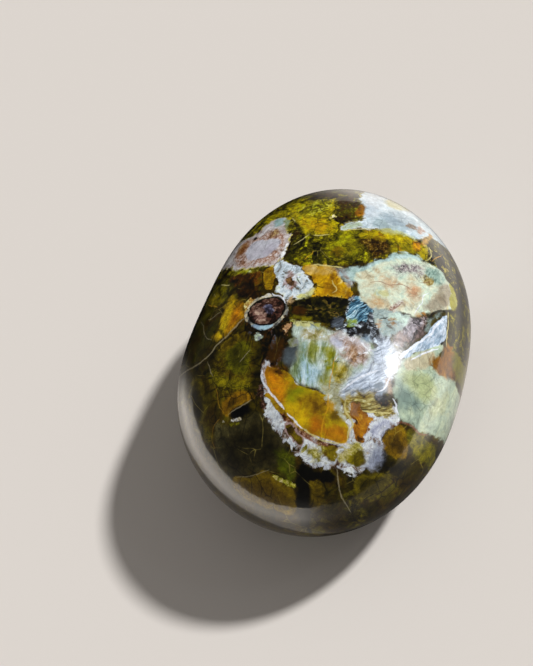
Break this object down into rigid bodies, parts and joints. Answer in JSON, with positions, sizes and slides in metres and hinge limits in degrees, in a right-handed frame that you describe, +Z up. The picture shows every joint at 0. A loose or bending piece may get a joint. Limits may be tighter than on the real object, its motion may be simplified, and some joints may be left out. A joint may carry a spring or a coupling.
{
  "type": "palm stone",
  "caption": "Polished oval pebble of mottled green opal that rests on a small flat spot and fits a closed hand.",
  "frame": {"origin": "middle of the small flat spot that the pebble rests on", "axes": "+X along the pebble's length, +Y across its width, +Z up out of its domed face"},
  "size_m": [0.0612, 0.0447, 0.028],
  "materials": {
    "polished_opal": "polished"
  },
  "bodies": {
    "root": {"stone": "polished_opal"}
  },
  "joints": []
}
